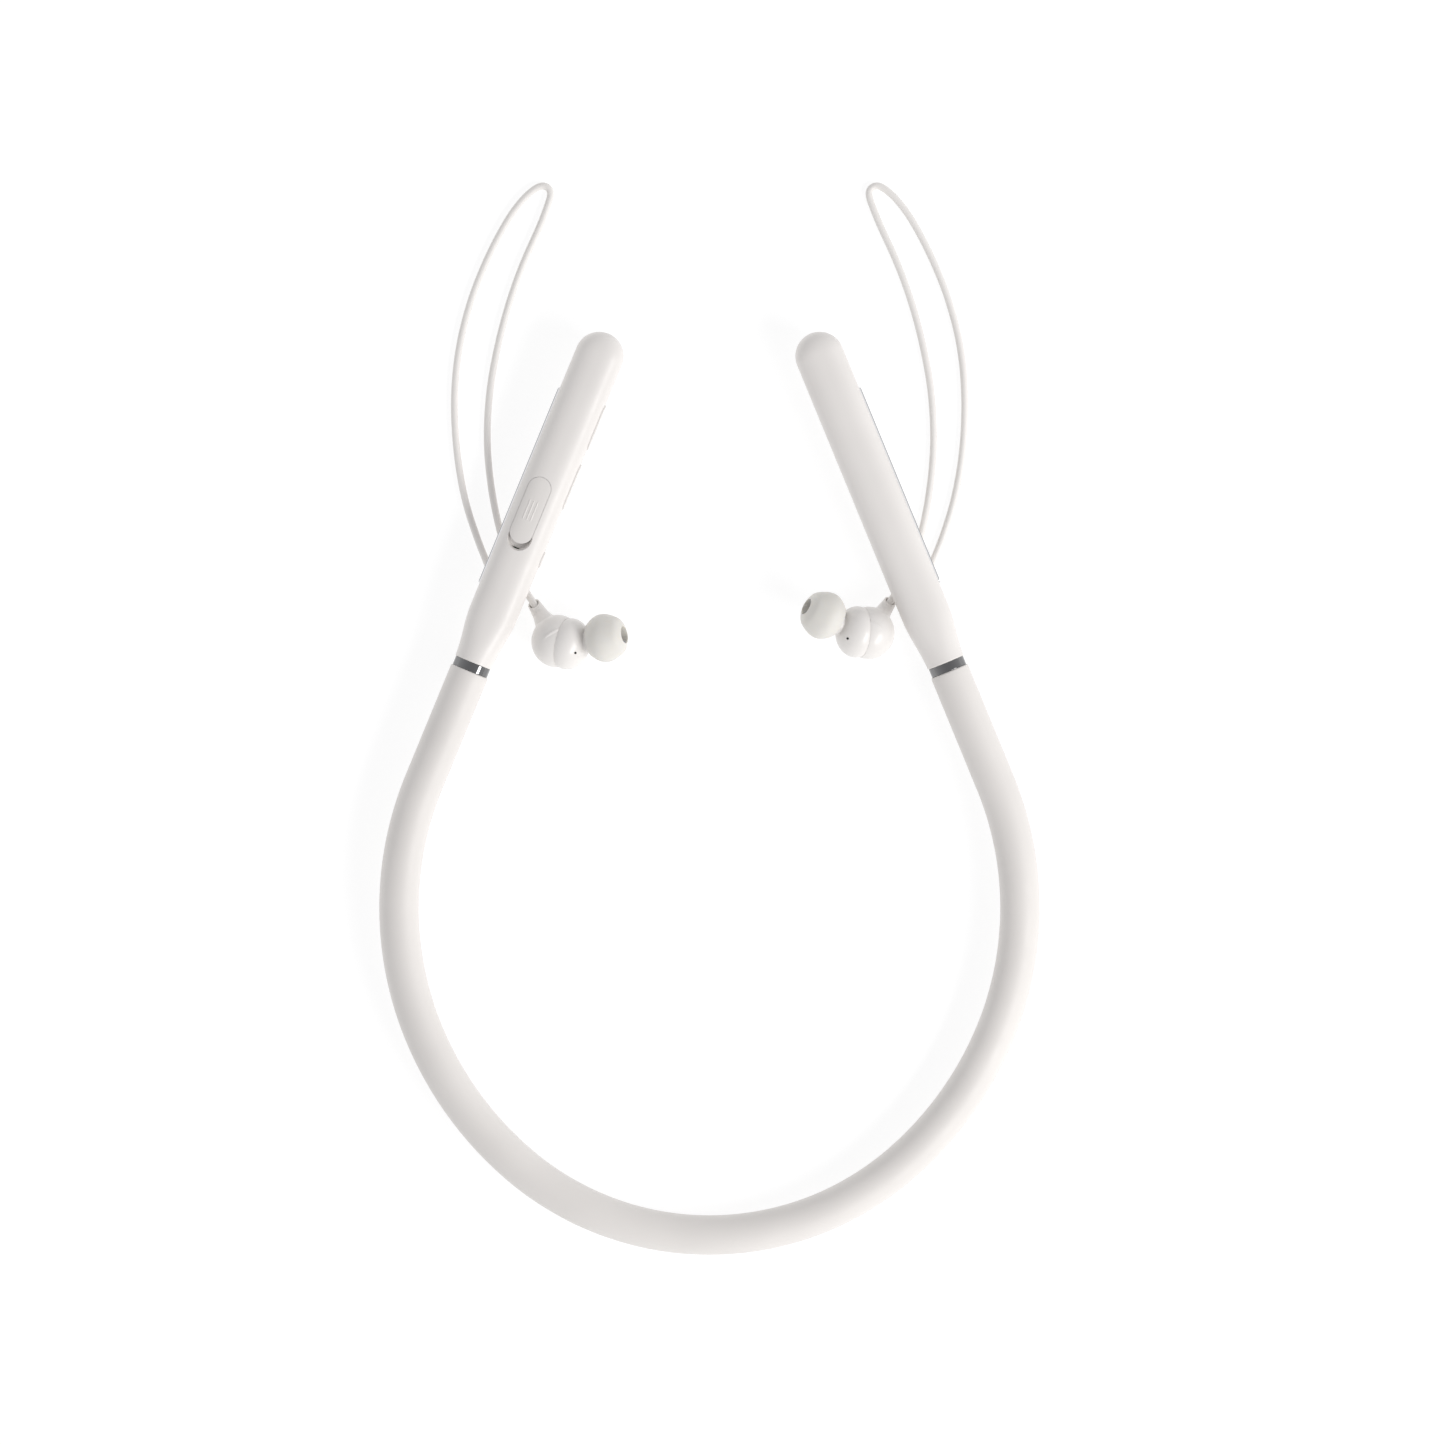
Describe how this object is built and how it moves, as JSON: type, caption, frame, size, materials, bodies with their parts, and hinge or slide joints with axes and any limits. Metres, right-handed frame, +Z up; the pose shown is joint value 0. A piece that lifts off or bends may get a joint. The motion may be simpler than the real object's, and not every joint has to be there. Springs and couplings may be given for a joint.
{
  "type": "neckband earphones",
  "caption": "Wireless neckband earphones lying flat: flexible U-shaped band, straight pods with chrome rings, looped thin cables and in-ear buds.",
  "frame": {"origin": "on the table under the middle of the neckband and pods, without the ear cables", "axes": "+Z up from the table, +Y from the back of the neckband to the pods' free ends, +X from the pod with the buttons to the plain pod"},
  "size_m": [0.1502, 0.2444, 0.0156],
  "materials": {
    "sleeve_silicone": "matt soft-touch silicone",
    "pod_plastic": "semi-gloss moulded ABS",
    "chrome": "polished",
    "cable_tpe": "satin TPE",
    "bud_plastic": "gloss moulded ABS",
    "tip_silicone": "matt translucent silicone",
    "flap_silicone": "matt silicone",
    "button_plastic": "semi-gloss",
    "black_plastic": "moulded nylon",
    "circuit_board": "solder mask",
    "steel": "drawn or stamped",
    "battery_wrap": "foil pouch",
    "wire_jacket": "insulated wires",
    "magnet_nickel": "nickel plated"
  },
  "bodies": {
    "band": {"band_sleeve_back": "sleeve_silicone", "memory_wire": "steel", "band_wire_bundle": "wire_jacket"},
    "left_arm": {"band_sleeve_left": "sleeve_silicone", "chrome_ring_left": "chrome", "joiner_left": "black_plastic", "pod_upper_left": "pod_plastic", "pod_lower_left": "pod_plastic", "side_strip_left": "chrome", "cable_grommet_left": "cable_tpe", "cable_left": "cable_tpe", "usb_socket": "steel", "control_board": "circuit_board", "tact_switches": "black_plastic", "microphone": "black_plastic"},
    "left_bud": {"bud_rear_shell_left": "bud_plastic", "bud_front_shell_left": "bud_plastic", "bud_boot_left": "cable_tpe", "bud_driver_left": "black_plastic", "nozzle_mesh_left": "steel", "bud_magnet_left": "magnet_nickel"},
    "left_tip": {"ear_tip_left": "tip_silicone"},
    "right_arm": {"band_sleeve_right": "sleeve_silicone", "chrome_ring_right": "chrome", "joiner_right": "black_plastic", "pod_upper_right": "pod_plastic", "pod_lower_right": "pod_plastic", "side_strip_right": "chrome", "cable_grommet_right": "cable_tpe", "cable_right": "cable_tpe", "battery": "battery_wrap", "battery_board": "circuit_board"},
    "right_bud": {"bud_rear_shell_right": "bud_plastic", "bud_front_shell_right": "bud_plastic", "bud_boot_right": "cable_tpe", "bud_driver_right": "black_plastic", "nozzle_mesh_right": "steel", "bud_magnet_right": "magnet_nickel"},
    "right_tip": {"ear_tip_right": "tip_silicone"},
    "volume_up_key": {"volume_up_button": "button_plastic"},
    "volume_down_key": {"volume_down_button": "button_plastic"},
    "power_key": {"power_button": "button_plastic"},
    "port_flap": {"usb_flap": "flap_silicone"}
  },
  "joints": [
    {"name": "left_arm_flex", "type": "hinge", "parent": "band", "child": "left_arm", "pos_m": [-0.04363, -0.08419, 0.00479], "axis": [0, 0, 1], "range_deg": [-4, 12], "stiffness_Nm_per_rad": 1.4, "deforming": ["memory_wire", "band_wire_bundle"]},
    {"name": "left_bud_swing", "type": "hinge", "parent": "left_arm", "child": "left_bud", "pos_m": [-0.04, 0.04315, 0.0027], "axis": [0, 0, 1], "range_deg": [-12, 30]},
    {"name": "left_tip_pull", "type": "slide", "parent": "left_bud", "child": "left_tip", "axis": [0.9221, 0.146, 0.3584], "range_m": [0, 0.008]},
    {"name": "right_arm_flex", "type": "hinge", "parent": "band", "child": "right_arm", "pos_m": [0.04363, -0.08419, 0.00479], "axis": [0, 0, -1], "range_deg": [-4, 12], "stiffness_Nm_per_rad": 1.4, "deforming": ["memory_wire", "band_wire_bundle"]},
    {"name": "right_bud_swing", "type": "hinge", "parent": "right_arm", "child": "right_bud", "pos_m": [0.0412, 0.04375, 0.00245], "axis": [0, 0, -1], "range_deg": [-12, 30]},
    {"name": "right_tip_pull", "type": "slide", "parent": "right_bud", "child": "right_tip", "axis": [-0.8355, 0.4166, 0.3584], "range_m": [0, 0.008]},
    {"name": "volume_up_press", "type": "slide", "parent": "left_arm", "child": "volume_up_key", "axis": [-0.9245, 0.381, 0.0067], "range_m": [0, 0.0003], "stiffness_N_per_m": 1000},
    {"name": "volume_down_press", "type": "slide", "parent": "left_arm", "child": "volume_down_key", "axis": [-0.9245, 0.381, 0.0067], "range_m": [0, 0.0003], "stiffness_N_per_m": 1000},
    {"name": "power_press", "type": "slide", "parent": "left_arm", "child": "power_key", "axis": [-0.9245, 0.381, 0.0067], "range_m": [0, 0.0003], "stiffness_N_per_m": 1000},
    {"name": "flap_open", "type": "hinge", "parent": "left_arm", "child": "port_flap", "pos_m": [-0.03754, 0.07157, 0.0122], "axis": [-0.9245, 0.381, 0.0067], "range_deg": [0, 100]}
  ]
}
